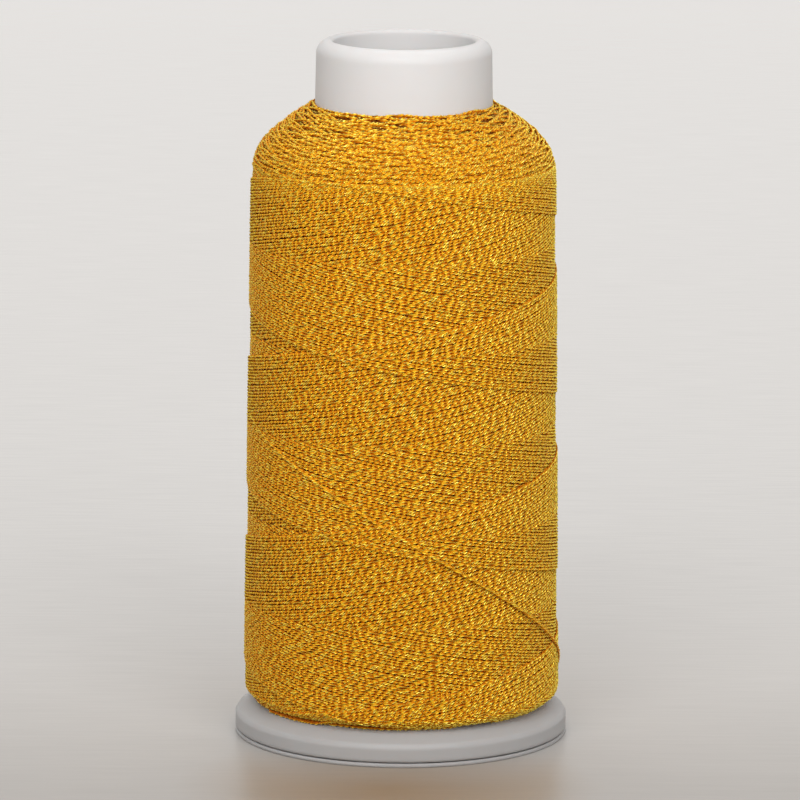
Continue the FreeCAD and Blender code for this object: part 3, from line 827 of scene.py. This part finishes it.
def table_paint():
    """A pale, faintly grained board: painted shade and a painted warm reflection in front of the spool,
    lighter behind it, and a painted glow far back.
    """
    material, shader = new_material("table_top")
    place = coordinates(material, "Object")
    back = split(material, place)["Y"]

    # Painted shade: the board lightens towards the back, quickly at first, and a few millimetres unevenly,
    # darkest in front of the spool
    front, rear = -0.045, 0.2
    shaded_front_paint = (0.35, 0.33, 0.31)
    rear_paint = (0.72, 0.70, 0.68)
    quickness = 1.6
    unevenness = 0.012
    grain = noise(material, stretch(material, place, (9.0, 150.0, 1.0)), detail=3.0)
    shift = maths(material, "MULTIPLY", maths(material, "SUBTRACT", grain, 0.5), unevenness)
    share_back = map_range(material, maths(material, "ADD", back, shift), front, rear)
    share_left = maths(material, "POWER", maths(material, "SUBTRACT", 1.0, share_back), quickness)
    colour = ramp(material, share_left, [(0.0, rear_paint), (1.0, shaded_front_paint)])

    # A round painted reflection and shadow in front of the spool, warm and darker, where its gold shines on
    # the board
    spot = node(material, "ShaderNodeMapping", vector_type="TEXTURE")
    set_inputs(spot, {"Location": (-0.002, -0.042, 0.0), "Scale": (0.036, 0.035, 1.0)})
    link(material, place, spot.inputs["Vector"])
    near = node(material, "ShaderNodeTexGradient", gradient_type="SPHERICAL")
    link(material, spot.outputs[0], near.inputs[0])
    warm = ramp(material, near.outputs["Fac"], [(0.0, grey(1.0)), (1.0, (0.74, 0.55, 0.36))])
    colour = tinted(material, colour, warm)

    # Fine faint streaks across the board
    streaks = noise(material, stretch(material, place, (70.0, 900.0, 1.0)))
    colour = tinted(material, colour, ramp(material, streaks, [(0.3, grey(0.965)), (0.7, grey(1.03))]))
    link(material, colour, shader.inputs["Base Color"])
    set_inputs(shader, {"Roughness": 0.34, "Emission Color": (1.0, 0.98, 0.97, 1)})

    # A painted glow grows from the rear to the far end, for the camera only, so that it lights nothing
    far_end = 0.93
    most_far_glow = 0.23
    far_glow_growth = 0.8
    painted_far_glow = maths(material, "POWER", map_range(material, back, rear, far_end), far_glow_growth)
    painted_far_glow = maths(material, "MULTIPLY", painted_far_glow, most_far_glow)
    seen = node(material, "ShaderNodeLightPath").outputs["Is Camera Ray"]
    link(material, maths(material, "MULTIPLY", painted_far_glow, seen), shader.inputs["Emission Strength"])
    return material


def make_floor():
    bpy.ops.mesh.primitive_plane_add(size=6.0, location=(0, 0, 0))
    floor = bpy.context.object
    floor.name = "table_top"
    wear(floor, table_paint())


def make_world():
    """A pale room, lighter at the height of the table than overhead."""
    world = bpy.data.worlds.new("room")
    world.use_nodes = True
    bpy.context.scene.world = world
    background = world.node_tree.nodes["Background"]
    height = split(world, coordinates(world, "Generated"))["Z"]
    colour = ramp(world, height, [(0.1, (1.0, 0.985, 0.965)), (0.9, (0.45, 0.443, 0.434))])
    link(world, colour, background.inputs["Color"])
    set_inputs(background, {"Strength": 0.88})


def make_softbox(name, degrees, away, high, size, radiance):
    """A square lamp that faces the spool."""
    lamp = bpy.data.lights.new(name, "AREA")
    lamp.shape = "RECTANGLE"
    lamp.size = size
    lamp.size_y = size
    lamp.energy = radiance * math.pi * size * size
    angle = math.radians(degrees)
    place = Vector((away * math.sin(angle), -away * math.cos(angle), high))
    holder = bpy.data.objects.new(name, lamp)
    holder.location = place
    holder.rotation_euler = (Vector(LAMP_TARGET) - place).to_track_quat("-Z", "Y").to_euler()
    bpy.context.scene.collection.objects.link(holder)


def make_camera():
    camera = bpy.data.cameras.new("camera")
    camera.lens = CAMERA_LENS
    camera.sensor_width = CAMERA_SENSOR
    camera.shift_x = CAMERA_SHIFT
    camera.clip_end = CAMERA_REACH
    holder = bpy.data.objects.new("camera", camera)
    tilt = Matrix.Rotation(math.radians(90 - CAMERA_PITCH), 4, "X")
    roll = Matrix.Rotation(math.radians(CAMERA_ROLL), 4, "Z")
    holder.matrix_world = Matrix.Translation(CAMERA_PLACE) @ tilt @ roll
    bpy.context.scene.collection.objects.link(holder)
    bpy.context.scene.camera = holder


make_floor()
make_world()
for lamp_settings in LAMPS:
    make_softbox(*lamp_settings)
make_camera()
bpy.context.scene.view_settings.view_transform = "Standard"
